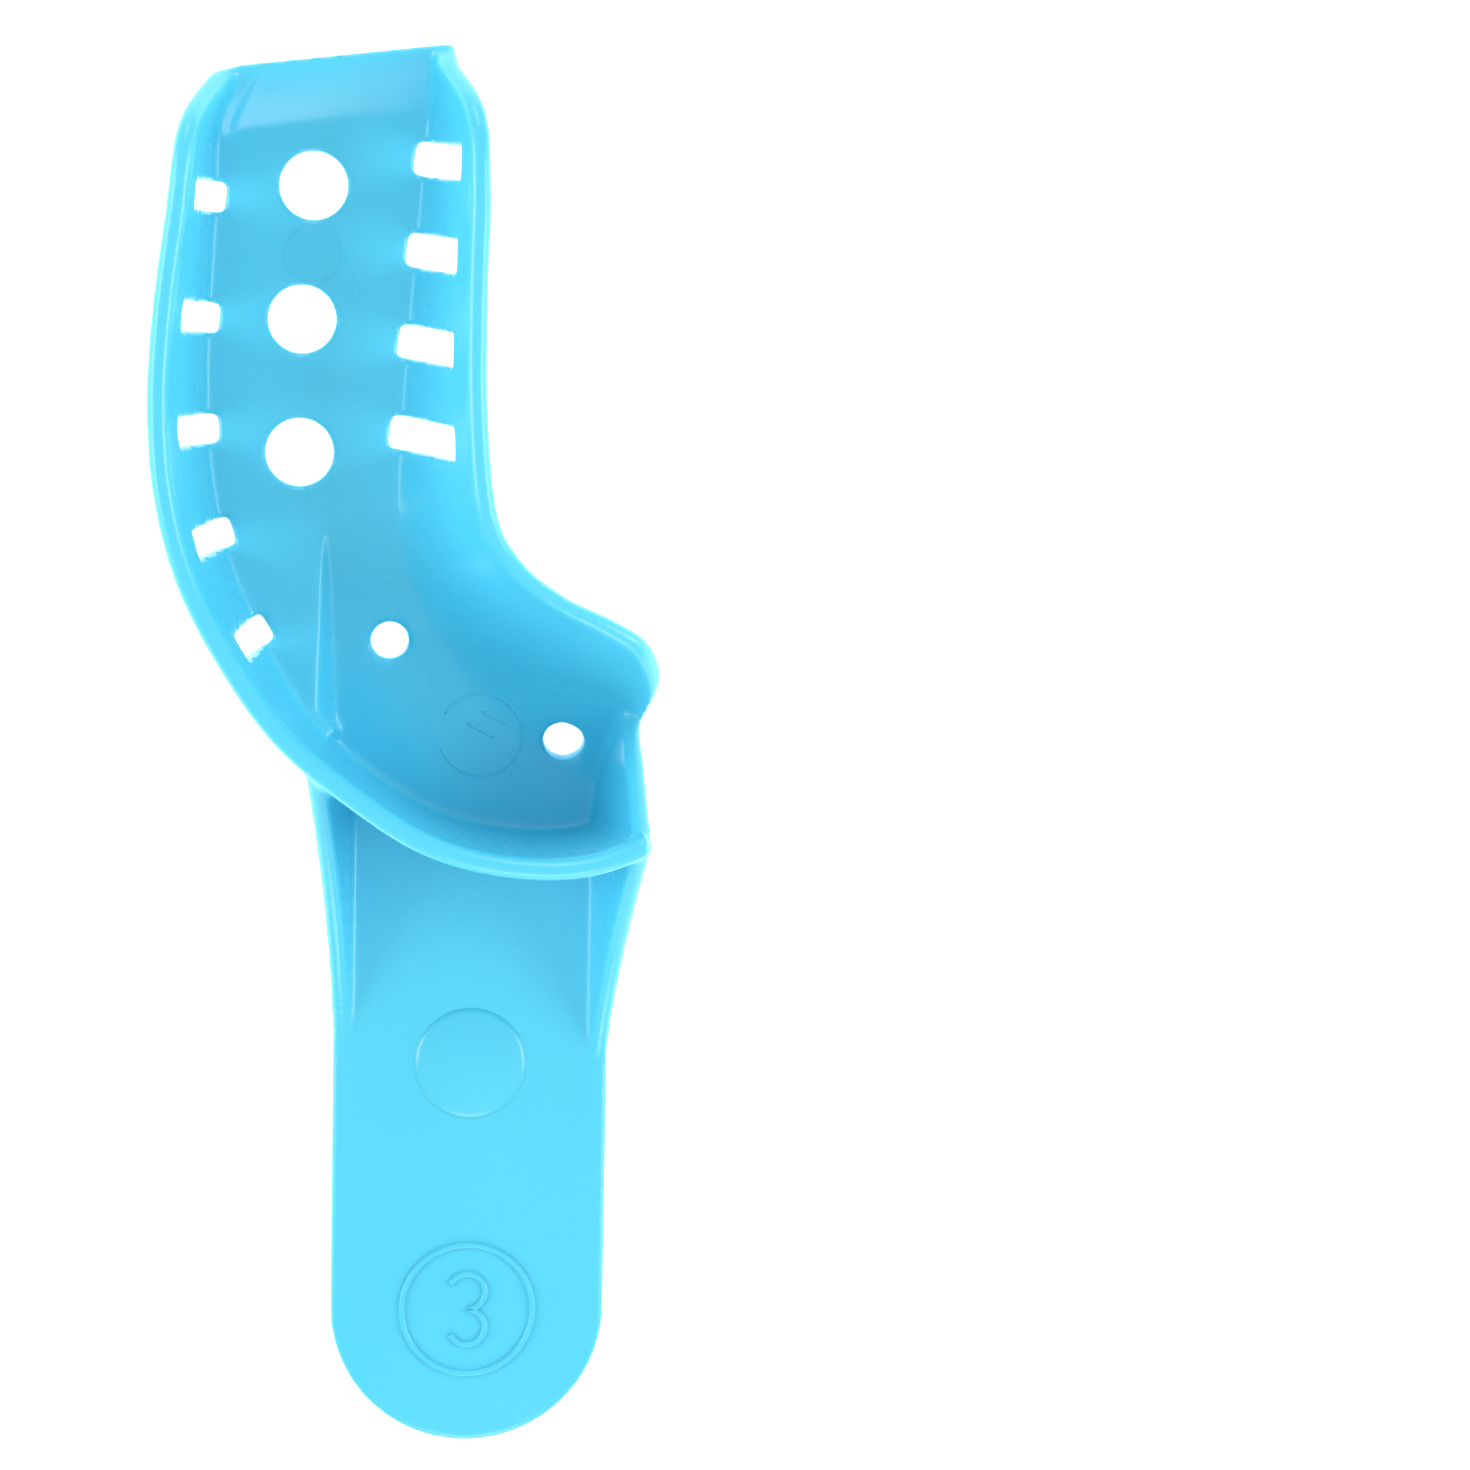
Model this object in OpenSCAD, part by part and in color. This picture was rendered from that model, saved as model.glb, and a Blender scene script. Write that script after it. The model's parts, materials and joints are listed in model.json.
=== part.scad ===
// Partial (quadrant) dental impression tray: one perforated moulding.
//
// The tray lies on the back of its handle with the bowl open upwards.
// X runs across the handle, Y from the handle towards the molar end, Z up.
// The origin is on the underside of the handle, on its centre line, under
// the foremost point of the rim.  Every node is one region of the moulding,
// and neighbouring regions meet face to face.

/* [Handle] */
// Length of the handle in front of the bowl
handle_len = 47.7; // [38:0.1:60]
// Width of the handle across its underside
handle_w = 21.2; // [17:0.1:26]
// Thickness of the handle blade
handle_t = 2.6; // [2:0.1:4]
// How far a side face leans out for each millimetre of height
side_lean = 0.176; // [0.08:0.004:0.25]
// Length of the gussets in front of the bowl
gusset_len = 17; // [12:0.5:22]
// Thickness of a gusset
gusset_t = 1.5; // [1.1:0.1:2]

/* [Bowl] */
// Length of the bowl from the front of the rim to the molar end
bowl_len = 63; // [52:1:76]
// Width of the bowl over its rims
bowl_w = 40; // [33:1:48]
// Height of the outer wall, without its bead, above the handle's underside
outer_h = 16; // [12:0.5:20]
// Height of the tongue-side wall, without its bead
inner_h = 15.6; // [12:0.5:20]
// How much lower the tongue-side wall is in the front of the bowl
inner_dip = 1.6; // [0:0.1:3]
// Thickness of the floors
floor_t = 1.6; // [1.2:0.1:2.2]
// Thickness of the walls at the rim
wall_t = 1.7; // [1.2:0.1:2.2]
// Height of the molar floor above the front floor
step_h = 4.5; // [3:0.1:6]
// How far the outer rim stands out from its foot in front
front_flare = 0.6; // [0.3:0.1:1.5]
// How much further it stands out beside the molars
molar_flare = 2; // [1:0.1:3]
// How far the midline end wall splays out towards the palate
splay = 1.3; // [0.5:0.1:2]
// Rise of the lip at the molar end
lip_rise = 2.2; // [1:0.1:3]

/* [Perforations] */
// Diameter of the bores in the molar floor
bore_d = 5.3; // [4:0.1:6.4]
// Distance between those bores
bore_pitch = 10.3; // [8.5:0.1:12.4]
// Diameter of the two small bores in front
small_bore_d = 3; // [2.4:0.1:3.6]
// Width of a slot on the outer side
outer_slot_w = 2.3; // [1.8:0.1:2.9]
// Width of a slot on the tongue side
inner_slot_w = 2.6; // [2:0.1:3.2]
// Distance between the slots on the tongue side
inner_slot_pitch = 7.05; // [5.9:0.05:8.5]
// Height of the slots above the molar floor
slot_h = 7; // [4:0.1:7.5]
// How far a slot reaches into the floor
slot_reach = 0.9; // [0.5:0.1:1.3]

/* [Marks] */
// Diameter of the thumb button
button_d = 9; // [7:0.1:11]
// Height of the button's dome
button_h = 0.7; // [0.4:0.1:1.2]
// Distance of the button from the tip of the handle
button_y = 30.9; // [27:0.1:34]
// Diameter of the ring around the size numeral
ring_d = 11; // [9:0.1:13]
// Distance of the ring from the tip of the handle
ring_y = 10.9; // [8:0.1:13]
// Width of a raised line
line_w = 0.5; // [0.3:0.05:0.8]
// Height of a raised line
line_h = 0.25; // [0.15:0.05:0.5]
// Diameter of the gate dimple under the handle
dimple_d = 4.6; // [3.5:0.1:6]
// Depth of the gate dimple
dimple_h = 0.6; // [0.3:0.1:0.9]

/* [Hidden] */
$fn = 64;

tray_colour = [0.39, 0.8, 0.93];
eps = 0.01;
far = 60;
// Least distance across between the foot and the top of the inner wall
upright_lean = 0.15;
// Samples between two control points of a plan curve
per = 3;
// Points up the side of a wall
wall_steps = 6;

// The plan is drawn for a bowl 63 long and 40 wide, and follows the real sizes.
drawn_len = 63;
drawn_w = 40;
function plan(p) = [p[0] * bowl_w / drawn_w, p[1] * bowl_len / drawn_len];

// Outer edge of the outer rim, from the molar end round to the midline end
outer_plan = [for (p = [[-20.6, 61.4], [-23.2, 57], [-24.2, 50], [-25.1, 43], [-25.5, 36],
    [-25, 29], [-23.2, 22.2], [-20, 16], [-15.8, 10.2], [-10.4, 5.6], [-4.2, 1.7],
    [2.6, 0], [9.2, 0.3], [15.6, 3.2], [21, 7]]) plan(p)];
// Outer edge of the tongue-side rim
inner_plan = [for (p = [[-2.9, 62.9], [-0.2, 58.4], [0.3, 52], [0.2, 44.5], [0.3, 36],
    [1.1, 28], [3.1, 24.2], [6.4, 21.6], [10.2, 19.8], [13, 18], [14.3, 15], [13, 11.6]])
    plan(p)];
// Foot of the tongue-side wall, and of the palatal slope after it
foot_plan = [for (p = [[-4, 62.7], [-4.2, 57.8], [-4.7, 51.5], [-5.3, 44.5], [-5.9, 36],
    [-6.4, 27], [-5.6, 21.5], [-3.4, 16.5], [0.8, 11], [5.2, 7.4], [8.8, 5.6],
    [11.4, 5.2]]) plan(p)];

// Control points at which the regions change
crease = 1;       // molar floor to lip, on both sides
molar_end = 5;    // tongue side: molar wall to palatal slope
ridge_from = plan([-12.1, 27]);
ridge_at = 8;     // outer side: the ridge meets the wall one sample later
ridge_i = ridge_at * per + 1;
wall_end = 13;    // outer side: the wall has passed the side of the handle here
last_outer = wall_end * per;
last_inner = (len(foot_plan) - 1) * per;

molar_z = step_h + floor_t;
ramp_top = ridge_from[1];
ramp_foot = plan([0, 9])[1];
flare_end = 9;
lip_wall = 1;

// Smooth curve through control points
function spline(a, b, c, d, t) = ((2 * b) + (c - a) * t + (2 * a - 5 * b + 4 * c - d) * t * t
    + (3 * b - a - 3 * c + d) * t * t * t) / 2;
function at(list, i) = i < 0 ? 2 * list[0] - list[1]
    : i >= len(list) ? 2 * list[len(list) - 1] - list[len(list) - 2] : list[i];
function curve(list, s) = let (i = min(floor(s), len(list) - 2), t = s - i)
    spline(at(list, i - 1), at(list, i), at(list, i + 1), at(list, i + 2), t);
function unit(v) = v / norm(v);
function outward(s) = let (d = curve(outer_plan, s + eps) - curve(outer_plan, s - eps))
    unit([d[1], -d[0]]);

// Height of the front floor's upper face
function ramp(y) = floor_t + step_h * min(max((y - ramp_foot) / (ramp_top - ramp_foot), 0), 1);
function lip(s) = molar_z + lip_rise * max(crease - s, 0) / crease;

// Outer side, by sample number
function flare(s) = front_flare + molar_flare * (s < flare_end ? sin(180 * s / flare_end) : 0);
function outer_edge(i) = curve(outer_plan, i / per);
function outer_top(i) = outer_edge(i) + outward(i / per) * -wall_t;
function outer_foot(i) = outer_edge(i) + outward(i / per) * -(wall_t + flare(i / per));
corner_drop = 1.2;
function outer_rim_z(i) = let (s = i / per)
    s >= 2 ? outer_h : curve([lip(0) + lip_wall, outer_h - corner_drop, outer_h, outer_h], s);

// Tongue side, by sample number
function inner_foot(i) = curve(foot_plan, i / per);
function inner_edge(i) = curve(inner_plan, i / per);
// At the molar end the rim comes nearer to the foot than the wall is thick.
// There the wall stands almost upright.
function inner_lean(i) = max(norm(inner_edge(i) - inner_foot(i)) - wall_t, upright_lean);
function inner_top(i) = inner_foot(i) + unit(inner_edge(i) - inner_foot(i)) * inner_lean(i);
function inner_foot_z(i) = i / per < crease ? lip(i / per) : ramp(inner_foot(i)[1]);
front_dip = inner_h - inner_dip;
// The rim's heights at the control points of its plan, from the molar end forwards
inner_heights = [lip(0) + lip_wall, inner_h - 1.4, inner_h, inner_h, inner_h, inner_h,
    inner_h - inner_dip / 4, inner_h - inner_dip / 2, front_dip, front_dip - 1.5,
    front_dip - 5, floor_t + 4.4];
function inner_rim_z(i) = curve(inner_heights, i / per);
// A wall's inner face bows in by a hair, and the palatal slope is dished
belly = 1.1;
dish = 2;
dish_from = 4;
dish_over = 3;
function bow(i) = belly + (dish - belly) * min(max((i / per - dish_from) / dish_over, 0), 1);

// Cross-section of a wall: up its inner face and down its outer face
function wall_section(foot, top, z0, z1, bow) = let (
        d = unit(top - foot),
        rise = [for (k = [0 : wall_steps]) let (q = k / wall_steps)
            [foot + (top - foot) * q, z0 + (z1 - z0) * pow(q, bow)]])
    concat([for (p = rise) [p[0][0], p[0][1], p[1]]],
        [for (k = [wall_steps : -1 : 0]) let (a = 90 * k / wall_steps, p = rise[k],
            q = p[0] + d * wall_t * sin(a)) [q[0], q[1], p[1] - floor_t * cos(a)]]);

// Cross-section of a floor between two feet
function floor_section(a, b, za, zb) = [[a[0], a[1], za], [b[0], b[1], zb],
    [b[0], b[1], zb - floor_t], [a[0], a[1], za - floor_t]];

// Half-round bead on the top of a wall
bead_steps = 6;
function bead_section(top, edge, z) = [for (k = [0 : bead_steps]) let (a = 180 * k / bead_steps,
        p = (top + edge) / 2 + (edge - top) / 2 * -cos(a))
    [p[0], p[1], z + wall_t / 2 * sin(a)]];

// Solid through a row of cross-sections that all have as many points
module loft(rows) {
    n = len(rows[0]);
    m = len(rows);
    points = [for (row = rows) each row];
    sides = [for (i = [0 : m - 2]) for (k = [0 : n - 1]) let (a = i * n + k,
        b = i * n + (k + 1) % n) each [[a, a + n, b], [b, a + n, b + n]]];
    caps = [[for (k = [0 : n - 1]) k], [for (k = [n - 1 : -1 : 0]) (m - 1) * n + k]];
    polyhedron(points = points, faces = concat(sides, caps), convexity = 6);
}

// Frame of the right side face: X is measured out from it, and inset moves it in.
// The splayed face of the midline end wall starts at the labial wall.
mesial_from = plan([0, 2.3])[1];
mesial_to = plan([0, 11.6])[1];
module side_frame(inset, splayed = false) {
    turn = splayed ? splay / (mesial_to - mesial_from) : 0;
    shift = handle_w / 2 - inset - turn * mesial_from;
    multmatrix([[1, turn, side_lean, shift], [0, 1, 0, 0], [0, 0, 1, 0], [0, 0, 0, 1]])
        children();
}

// Everything beyond that face
module beyond_side(inset, splayed = false) {
    side_frame(inset, splayed) translate([0, -far, -1]) cube([far, 3 * far, far]);
}

// Leaning slab behind that face, with its profile drawn in Y and Z
module side_slab(profile, splayed = false) {
    side_frame(gusset_t, splayed)
        rotate([90, 0, 90]) linear_extrude(gusset_t) polygon(profile);
}

// The bowl's front, filled from the outer face of its wall to behind the wall
envelope_depth = 11;
module front_envelope() {
    last = (len(outer_plan) - 1) * per;
    loft([for (i = [ridge_i - 2 : last]) let (n = outward(i / per),
        foot = outer_foot(i), deep = foot - n * envelope_depth,
        w = wall_section(foot, outer_top(i), floor_t, outer_h, belly), m = len(w))
        concat([for (k = [m / 2 : m - 1]) w[k]],
            [[deep[0], deep[1], 0], [deep[0], deep[1], outer_h]])]);
}

gusset_rise = outer_h - handle_t;
gusset_steps = 8;
// Side view of a gusset that rises to the rim at the plan distance "back", and starts
// the more gently the higher "power" is
left_power = 1.65;
right_power = 1.35;
function gusset_profile(back, power) = concat([[back, handle_t], [-gusset_len, handle_t]],
    [for (k = [1 : gusset_steps]) let (q = k / gusset_steps)
        [-gusset_len + (back + gusset_len) * q, handle_t + gusset_rise * pow(q, power)]]);
left_back = plan([0, 7.4])[1];
right_back = mesial_from;

// Radius of the sphere whose cap has that diameter and height
function cap_r(d, h) = (d * d / 4 + h * h) / (2 * h);
dimple_r = cap_r(dimple_d, dimple_h);

module handle_blade() {
    color(tray_colour) difference() {
        hull() {
            for (z = [0, handle_t - eps]) {
                r = handle_w / 2 + side_lean * z;
                translate([0, -handle_len + handle_w / 2 + side_lean * handle_t, z])
                    linear_extrude(eps) circle(r, $fn = 48);
                translate([-r, 0, z]) cube([2 * r, left_back, eps]);
            }
        }
        front_envelope();
        translate([0, button_y - handle_len, dimple_h - dimple_r]) sphere(dimple_r);
    }
}

module left_gusset() {
    color(tray_colour) difference() {
        mirror([1, 0, 0]) side_slab(gusset_profile(left_back, left_power));
        front_envelope();
    }
}

module right_gusset() {
    color(tray_colour) difference() {
        side_slab(gusset_profile(right_back, right_power));
        front_envelope();
    }
}

module thumb_button() {
    r = cap_r(button_d, button_h);
    sweep = asin(button_d / 2 / r);
    steps = 6;
    color(tray_colour) translate([0, button_y - handle_len, handle_t])
        rotate_extrude() polygon(concat([[0, 0]],
            [for (k = [steps : -1 : 0]) let (a = sweep * k / steps)
                [r * sin(a), button_h - r + r * cos(a)]]));
}

module size_ring() {
    color(tray_colour) translate([0, ring_y - handle_len, handle_t])
        difference() {
            cylinder(d = ring_d, h = line_h);
            translate([0, 0, -1]) cylinder(d = ring_d - 2 * line_w, h = line_h + 2);
        }
}

// A plain figure three of two bows, each open to the left between two rays
numeral_r = ring_d / 6.5;
outer_ray = 1.1;
inner_ray = 0.98;
module size_numeral() {
    color(tray_colour) translate([0, ring_y - handle_len, handle_t]) linear_extrude(line_h)
        for (side = [-1, 1])
            translate([0, side * (numeral_r - line_w / 2)]) difference() {
                circle(numeral_r);
                circle(numeral_r - line_w);
                polygon([[0, 0], [-far, side * numeral_r], [-far, -side * numeral_r * outer_ray],
                    [0, -side * (numeral_r - line_w) * inner_ray]]);
            }
}

// The bores: the middle one of the molar floor and its neighbours, which stand a
// little to either side of it, and the two in front, one of them through the slope
middle_bore = plan([-13.9, 42.2]);
rear_bore = middle_bore + [0.8, bore_pitch];
front_bore = middle_bore + [-0.1, -bore_pitch];
floor_bore = plan([-6.8, 17.1]);
slope_bore = plan([7.1, 9.2]);
slope_tilt = 14;
bore_cut = 20;
module bore(p, d, tilt = 0) {
    translate([p[0], p[1], 0]) rotate([tilt, 0, 0]) translate([0, 0, -bore_cut / 4])
        cylinder(d = d, h = bore_cut);
}

// Slots are cut from inside the wall's foot out to beyond its outer face
slot_cut = 15;

// The first slot and the next ones, in control points along the outer plan
outer_slot_first = 1.75;
outer_slot_step = 1.31;
module outer_slots() {
    for (k = [0 : 4]) {
        s = outer_slot_first + outer_slot_step * k;
        n = outward(s);
        p = curve(outer_plan, s) - n * (wall_t + flare(s) + slot_reach);
        translate([p[0], p[1], -eps]) rotate([0, 0, atan2(n[1], n[0])])
            translate([0, -outer_slot_w / 2, 0]) cube([slot_cut, outer_slot_w, molar_z + slot_h]);
    }
}

// The first slot's place along Y, and its place in control points along the foot,
// which are about 7.4 apart there
inner_slot_first = plan([0, 54.6])[1];
inner_slot_s = 1.5;
foot_pitch = 7.4;
module inner_slots() {
    for (k = [0 : 3]) {
        y = inner_slot_first - k * inner_slot_pitch;
        s = inner_slot_s + k * inner_slot_pitch / foot_pitch;
        x = curve(foot_plan, s)[0] - slot_reach;
        translate([x, y - inner_slot_w / 2, -eps])
            cube([slot_cut, inner_slot_w, molar_z + slot_h]);
    }
}

module molar_floor() {
    outline = concat([for (i = [crease * per : ridge_i]) outer_foot(i)], [ridge_from],
        [for (i = [molar_end * per : -1 : crease * per]) inner_foot(i)]);
    color(tray_colour) difference() {
        translate([0, 0, step_h]) linear_extrude(floor_t) polygon(outline);
        bore(rear_bore, bore_d);
        bore(middle_bore, bore_d);
        bore(front_bore, bore_d);
        outer_slots();
        inner_slots();
    }
}

module distal_lip() {
    color(tray_colour) loft([for (i = [0 : crease * per]) let (z = lip(i / per))
        floor_section(outer_foot(i), inner_foot(i), z, z)]);
}

module buccal_wall() {
    color(tray_colour) difference() {
        loft([for (i = [0 : ridge_i])
            wall_section(outer_foot(i), outer_top(i), lip(i / per), outer_rim_z(i), belly)]);
        outer_slots();
    }
}

// The foot of the front wall comes down from the molar floor along the end of the step
function front_foot_z(i) = i == ridge_i ? molar_z : floor_t;
module front_wall() {
    loft([for (i = [ridge_i : last_outer])
        wall_section(outer_foot(i), outer_top(i), front_foot_z(i), outer_h, belly)]);
}

module labial_wall() {
    color(tray_colour) difference() {
        front_wall();
        beyond_side(0);
    }
}

// Heights of the end wall above the floor where the palatal slope meets it
mesial_low = 1.4;
mesial_high = 4.2;
module mesial_wall() {
    profile = [[mesial_from, 0], [ramp_foot, 0], [mesial_to, floor_t + mesial_low],
        [mesial_to, floor_t + mesial_high], [mesial_from, outer_h]];
    color(tray_colour) difference() {
        intersection() {
            side_slab(profile, true);
            front_envelope();
        }
        front_wall();
    }
}

module lingual_wall() {
    color(tray_colour) difference() {
        loft([for (i = [molar_end * per : -1 : 0])
            wall_section(inner_foot(i), inner_top(i), inner_foot_z(i), inner_rim_z(i), bow(i))]);
        inner_slots();
    }
}

module palatal_slope() {
    color(tray_colour) difference() {
        loft([for (i = [last_inner : -1 : molar_end * per])
            wall_section(inner_foot(i), inner_top(i), inner_foot_z(i), inner_rim_z(i), bow(i))]);
        intersection() {
            beyond_side(gusset_t, true);
            translate([-far, mesial_to - 2 * far, -1]) cube([2 * far, 2 * far, far]);
        }
        bore(slope_bore, small_bore_d, slope_tilt);
    }
}

// Foot of the step, from the top of the ramp to the labial wall
step_lean = 0.35;
step_from = ridge_from + [step_lean, 0];
step_n = last_inner - molar_end * per - (last_outer - ridge_i - 1);
function step_foot(k) = let (q = k / step_n) step_from * (1 - q) + outer_foot(ridge_i + 1) * q;
function ridge(k) = let (q = k / step_n) ridge_from * (1 - q) + outer_foot(ridge_i) * q;

module front_floor() {
    color(tray_colour) difference() {
        loft([for (k = [0 : last_inner - molar_end * per]) let (
            a = k <= step_n ? step_foot(k) : outer_foot(ridge_i + 1 + k - step_n),
            b = inner_foot(molar_end * per + k))
            floor_section(a, b, ramp(a[1]), ramp(b[1]))]);
        beyond_side(gusset_t, true);
        bore(floor_bore, small_bore_d);
    }
}

// The step's underside stands out under the molar floor, more towards the wall
overhang_min = 0.1;
overhang_more = 1.4;
module floor_step() {
    color(tray_colour) loft([for (k = [0 : step_n]) let (r = ridge(k), f = step_foot(k),
        z = ramp(f[1]), o = r + unit(r - f) * (overhang_min + overhang_more * k / step_n))
        [[r[0], r[1], molar_z], [f[0], f[1], z], [f[0], f[1], z - floor_t],
            [o[0], o[1], step_h - eps], [r[0], r[1], step_h]]]);
}

module outer_rim() {
    color(tray_colour) intersection() {
        loft([for (i = [0 : last_outer]) bead_section(outer_top(i), outer_edge(i), outer_rim_z(i))]);
        side_frame(0) translate([-2 * far, -far, 0]) cube([2 * far, 3 * far, far]);
    }
}

module inner_rim() {
    color(tray_colour) loft([for (i = [0 : last_inner])
        bead_section(inner_edge(i), inner_top(i), inner_rim_z(i))]);
}

handle_blade();
left_gusset();
right_gusset();
thumb_button();
size_ring();
size_numeral();
molar_floor();
distal_lip();
buccal_wall();
labial_wall();
mesial_wall();
lingual_wall();
palatal_slope();
front_floor();
floor_step();
outer_rim();
inner_rim();
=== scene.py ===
# %% [markdown]
# A quadrant impression tray: one moulding of glossy, slightly milky blue plastic.  It has a
# flat handle with two gussets, and a perforated bowl that is bent round like half a dental
# arch.  It lies on the back of its handle with the bowl open upwards.
#
# This lesson builds the moulding the way a toolmaker would think of it: walls, floors, ribs
# and rims are lofted one by one from cross-sections, they are melted into one skin, and the
# slots and bores are cut through it.

import math

import bmesh
import bpy
from mathutils import Matrix, Vector
from mathutils.bvhtree import BVHTree
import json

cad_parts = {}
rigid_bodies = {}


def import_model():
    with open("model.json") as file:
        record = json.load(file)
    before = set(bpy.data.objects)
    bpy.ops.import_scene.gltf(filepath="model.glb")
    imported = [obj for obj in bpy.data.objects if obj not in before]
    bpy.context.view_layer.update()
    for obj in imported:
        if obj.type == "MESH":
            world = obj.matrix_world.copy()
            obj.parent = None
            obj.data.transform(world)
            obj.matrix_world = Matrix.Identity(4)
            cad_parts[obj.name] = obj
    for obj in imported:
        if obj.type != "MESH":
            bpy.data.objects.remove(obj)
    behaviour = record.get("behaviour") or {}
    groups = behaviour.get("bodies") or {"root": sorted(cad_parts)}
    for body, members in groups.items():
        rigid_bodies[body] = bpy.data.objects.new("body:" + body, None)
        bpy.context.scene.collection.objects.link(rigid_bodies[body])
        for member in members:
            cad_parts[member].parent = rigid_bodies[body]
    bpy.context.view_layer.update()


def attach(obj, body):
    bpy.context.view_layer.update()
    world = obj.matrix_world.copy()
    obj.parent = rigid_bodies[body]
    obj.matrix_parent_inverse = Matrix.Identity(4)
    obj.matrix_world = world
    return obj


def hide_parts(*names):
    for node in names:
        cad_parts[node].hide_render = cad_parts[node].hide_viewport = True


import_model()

# %% [markdown]
# The camera looks down on the tray from about a third of a metre, a little from behind the
# bowl, so that the inside of the front wall and the rims can be seen.  It is aimed a little
# to the side, so that the tray lies left of the middle.

# %% The camera
EYE = Vector((-0.01295, 0.04795, 0.35804))
BACK = Vector((-0.09374, 0.10629, 0.98991)).normalized()
UP = Vector((-0.00955, 0.99414, -0.10765))
SENSOR_WIDTH, LENS = 36, 110.4245

camera_data = bpy.data.cameras.new("camera")
camera_data.sensor_width, camera_data.lens = SENSOR_WIDTH, LENS
camera_data.clip_start, camera_data.clip_end = 0.01, 10
camera = bpy.data.objects.new("camera", camera_data)
bpy.context.scene.collection.objects.link(camera)
bpy.context.scene.camera = camera
across = UP.cross(BACK).normalized()
camera.rotation_euler = Matrix((across, BACK.cross(across), BACK)).transposed().to_euler()
camera.location = EYE
print("camera at", [round(c, 4) for c in camera.location])

# %% [markdown]
# All the curves of the bowl are drawn in plan, as a few points that a smooth curve runs
# through.  There are three: the outer edge of the outer rim, the outer edge of the rim on
# the tongue side, and the foot of the wall on the tongue side.  They are in millimetres,
# which are easier to read, and become metres when a mesh is made.

# %% Plan curves
OUTER_PLAN = [(-20.6, 61.4), (-23.2, 57), (-24.2, 50), (-25.1, 43), (-25.5, 36), (-25, 29),
              (-23.2, 22.2), (-20, 16), (-15.8, 10.2), (-10.4, 5.6), (-4.2, 1.7), (2.6, 0),
              (9.2, 0.3), (15.6, 3.2), (21, 7)]
INNER_PLAN = [(-2.9, 62.9), (-0.2, 58.4), (0.3, 52), (0.2, 44.5), (0.3, 36), (1.1, 28),
              (3.1, 24.2), (6.4, 21.6), (10.2, 19.8), (13, 18), (14.3, 15), (13, 11.6)]
FOOT_PLAN = [(-4, 62.7), (-4.2, 57.8), (-4.7, 51.5), (-5.3, 44.5), (-5.9, 36), (-6.4, 27),
             (-5.6, 21.5), (-3.4, 16.5), (0.8, 11), (5.2, 7.4), (8.8, 5.6), (11.4, 5.2)]


def smooth_curve(points, s):
    """Place on the smooth curve through the points, s counting from 0 at the first."""
    def at(i):
        if i < 0:
            return 2 * points[0] - points[1]
        if i >= len(points):
            return 2 * points[-1] - points[-2]
        return points[i]

    i = max(0, min(math.floor(s), len(points) - 2))
    t = s - i
    a, b, c, d = at(i - 1), at(i), at(i + 1), at(i + 2)
    return (2 * b + (c - a) * t + (2 * a - 5 * b + 4 * c - d) * t * t
            + (3 * b - a - 3 * c + d) * t * t * t) / 2


outer_points = [Vector(p) for p in OUTER_PLAN]
inner_points = [Vector(p) for p in INNER_PLAN]
foot_points = [Vector(p) for p in FOOT_PLAN]
print("the molar end's inner rim ends at", smooth_curve(inner_points, 0))

# %% [markdown]
# The heights come next.  The molar floor is higher than the front floor, and a ramp joins
# them on the tongue side.  The walls lean outwards by their flare, which is largest beside
# the molars, and their tops round down at the molar end to a low lip.

# %% Heights and leans
FLOOR = 1.6
WALL = 1.7
STEP = 4.5
MOLAR = STEP + FLOOR
OUTER_TOP = 16
INNER_TOP = 15.6
RAMP_FROM, RAMP_TO = 9, 27
LIP_RISE = 2.2
RIDGE_FROM = Vector((-12.1, 27))
RIDGE_S = 25 / 3
STEP_S = 26 / 3
OUTER_START, OUTER_END = -0.6, 13
INNER_START, INNER_END = -0.4, 11
HANDLE_HALF = 10.6
LEAN = 0.176
BLADE = 2.6


def clamp(x, low=0.0, high=1.0):
    return min(max(x, low), high)


def soft_corner(x, width):
    """0 below 0 and x above it, with the corner rounded over the width to either side."""
    if x <= -width:
        return 0.0
    return x if x >= width else (x + width) ** 2 / (4 * width)


def ramp(y):
    slope = STEP / (RAMP_TO - RAMP_FROM)
    return FLOOR + slope * (soft_corner(y - RAMP_FROM, 4) - soft_corner(y - RAMP_TO, 1.5))


def lip(s):
    return MOLAR + LIP_RISE * max(1 - s, 0)


def outward(s):
    d = smooth_curve(outer_points, s + 0.01) - smooth_curve(outer_points, s - 0.01)
    return Vector((d.y, -d.x)).normalized()


FRONT_FLARE, MOLAR_FLARE, FLARE_TO = 0.2, 2.4, 9


def flare(s):
    """How far the outer wall's top stands out past its foot."""
    if 0 < s < FLARE_TO:
        return FRONT_FLARE + MOLAR_FLARE * math.sin(math.pi * s / FLARE_TO)
    return FRONT_FLARE


def outer_foot(s):
    return smooth_curve(outer_points, s) - outward(s) * (WALL + flare(s))


def outer_top(s):
    return smooth_curve(outer_points, s) - outward(s) * WALL


RIM_OVER_LIP = 0.1
LEAST_LEAN = 0.15
OUTER_HEIGHTS = [lip(0) + 0.3, OUTER_TOP - 1.2, OUTER_TOP, OUTER_TOP]
INNER_HEIGHTS = [lip(0) + 0.2, INNER_TOP - 1.4, INNER_TOP, INNER_TOP, INNER_TOP, INNER_TOP,
                 INNER_TOP - 0.4, INNER_TOP - 0.8, INNER_TOP - 1.6, INNER_TOP - 3.1,
                 INNER_TOP - 6.6, FLOOR + 4.4]


def outer_height(s):
    return OUTER_TOP if s >= 2 else max(smooth_curve(OUTER_HEIGHTS, s), lip(s) + RIM_OVER_LIP)


def inner_height(s):
    return max(smooth_curve(INNER_HEIGHTS, s), lip(s) + RIM_OVER_LIP)


def inner_foot(s):
    return smooth_curve(foot_points, s)


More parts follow.
